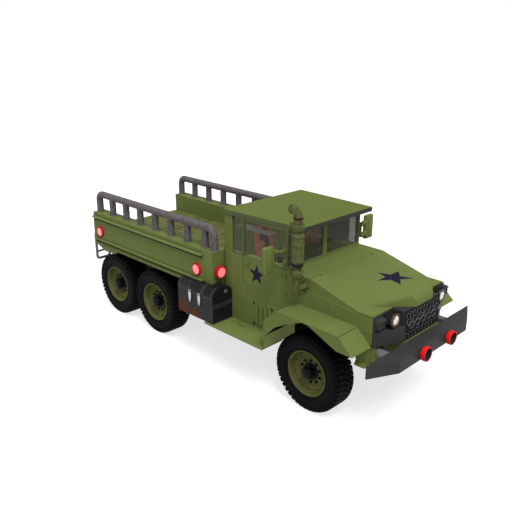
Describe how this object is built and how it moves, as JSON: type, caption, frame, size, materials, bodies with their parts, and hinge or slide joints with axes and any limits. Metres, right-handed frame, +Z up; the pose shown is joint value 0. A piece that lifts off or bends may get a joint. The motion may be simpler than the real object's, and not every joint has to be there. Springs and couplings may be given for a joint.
{
  "type": "military cargo truck",
  "caption": "Olive six-wheel-drive cargo truck with an enclosed cab, sloping bonnet, flat fenders, upright exhaust, open-backed load bed with tube rails and a side chest.",
  "frame": {"origin": "on the ground, midway along the overall length, on the centre line", "axes": "+X forward, +Y to the driver's left, +Z up"},
  "size_m": [6.764, 2.55, 2.8658],
  "materials": {
    "olive": "matt",
    "olive_rim": "satin",
    "dark_grey": "satin",
    "signal_red": "gloss",
    "tyre": "matt",
    "dark_steel": "matt",
    "iron": "rough",
    "bright_steel": "satin",
    "chrome": "polished",
    "lens": "gloss",
    "lamp_glass": "gloss",
    "glass": "clear",
    "seat": "worn",
    "black_trim": "matt",
    "pipe_paint": "worn, rust spots",
    "floor_paint": "worn, rust spots",
    "charcoal": "worn, rust patch"
  },
  "bodies": {
    "chassis": {"bed_floor": "floor_paint", "bed_rails": "pipe_paint", "bed_sides": "olive", "bumper": "dark_grey", "cab_back": "olive", "cab_glass": "glass", "cab_tub": "olive", "chassis_frame": "dark_steel", "chest_body": "charcoal", "cowl": "olive", "dashboard": "black_trim", "driveline": "dark_steel", "engine": "iron", "engine_sides": "olive", "exhaust_stack": "olive", "fender_left": "olive", "fender_right": "olive", "front_axle": "iron", "fuel_tank": "dark_steel", "grille": "chrome", "headboard": "olive", "headlamps": "lamp_glass", "lamp_panels": "dark_grey", "leaf_springs": "dark_steel", "marker_lamps": "lens", "mid_axle": "iron", "mirrors": "olive", "radiator": "bright_steel", "rear_axle": "iron", "rear_ladder": "bright_steel", "roof": "olive", "running_boards": "olive", "seats": "seat", "tow_rings": "signal_red", "valance": "olive", "windscreen_frame": "olive"},
    "wheel_front_left": {"tyre_front_left": "tyre", "rim_front_left": "olive_rim"},
    "wheel_mid_left": {"tyre_mid_left": "tyre", "rim_mid_left": "olive_rim"},
    "wheel_rear_left": {"tyre_rear_left": "tyre", "rim_rear_left": "olive_rim"},
    "steering_left": {"knuckle_left": "iron"},
    "door_left_body": {"door_left": "olive", "door_glass_left": "glass"},
    "wheel_front_right": {"tyre_front_right": "tyre", "rim_front_right": "olive_rim"},
    "wheel_mid_right": {"tyre_mid_right": "tyre", "rim_mid_right": "olive_rim"},
    "wheel_rear_right": {"tyre_rear_right": "tyre", "rim_rear_right": "olive_rim"},
    "steering_right": {"knuckle_right": "iron"},
    "door_right_body": {"door_right": "olive", "door_glass_right": "glass"},
    "bonnet": {"hood": "olive"},
    "lid": {"chest_lid": "charcoal"},
    "steering_hand_wheel": {"steering_wheel": "black_trim"}
  },
  "joints": [
    {"name": "steer_left", "type": "hinge", "parent": "chassis", "child": "steering_left", "pos_m": [2, 0.77, 0.57], "axis": [0, 0, 1], "range_deg": [-28, 28]},
    {"name": "steer_right", "type": "hinge", "parent": "chassis", "child": "steering_right", "pos_m": [2, -0.77, 0.57], "axis": [0, 0, 1], "range_deg": [-28, 28]},
    {"name": "roll_front_left", "type": "hinge", "parent": "steering_left", "child": "wheel_front_left", "pos_m": [2, 0.8975, 0.57], "axis": [0, 1, 0], "continuous": true},
    {"name": "roll_mid_left", "type": "hinge", "parent": "chassis", "child": "wheel_mid_left", "pos_m": [-1.447, 0.8975, 0.57], "axis": [0, 1, 0], "continuous": true},
    {"name": "roll_rear_left", "type": "hinge", "parent": "chassis", "child": "wheel_rear_left", "pos_m": [-2.617, 0.8975, 0.57], "axis": [0, 1, 0], "continuous": true},
    {"name": "roll_front_right", "type": "hinge", "parent": "steering_right", "child": "wheel_front_right", "pos_m": [2, -0.8975, 0.57], "axis": [0, 1, 0], "continuous": true},
    {"name": "roll_mid_right", "type": "hinge", "parent": "chassis", "child": "wheel_mid_right", "pos_m": [-1.447, -0.8975, 0.57], "axis": [0, 1, 0], "continuous": true},
    {"name": "roll_rear_right", "type": "hinge", "parent": "chassis", "child": "wheel_rear_right", "pos_m": [-2.617, -0.8975, 0.57], "axis": [0, 1, 0], "continuous": true},
    {"name": "door_left_hinge", "type": "hinge", "parent": "chassis", "child": "door_left_body", "pos_m": [1.41, 0.8565, 1.6], "axis": [0, 0, -1], "range_deg": [0, 55]},
    {"name": "door_right_hinge", "type": "hinge", "parent": "chassis", "child": "door_right_body", "pos_m": [1.41, -0.8565, 1.6], "axis": [0, 0, 1], "range_deg": [0, 55]},
    {"name": "hood_hinge", "type": "hinge", "parent": "chassis", "child": "bonnet", "pos_m": [1.839, 0, 1.8625], "axis": [0, -1, 0], "range_deg": [0, 55]},
    {"name": "chest_lid_hinge", "type": "hinge", "parent": "chassis", "child": "lid", "pos_m": [-0.1, -1.088, 1.338], "axis": [-1, 0, 0], "range_deg": [0, 60]},
    {"name": "steering_wheel_turn", "type": "hinge", "parent": "chassis", "child": "steering_hand_wheel", "pos_m": [1.15, 0.4, 1.96], "axis": [-0.6157, 0, 0.788], "range_deg": [-285, 285]}
  ],
  "couplings": [
    {"joint": "steer_right", "follows": "steer_left", "ratio": 1},
    {"joint": "steering_wheel_turn", "follows": "steer_left", "ratio": 10}
  ]
}
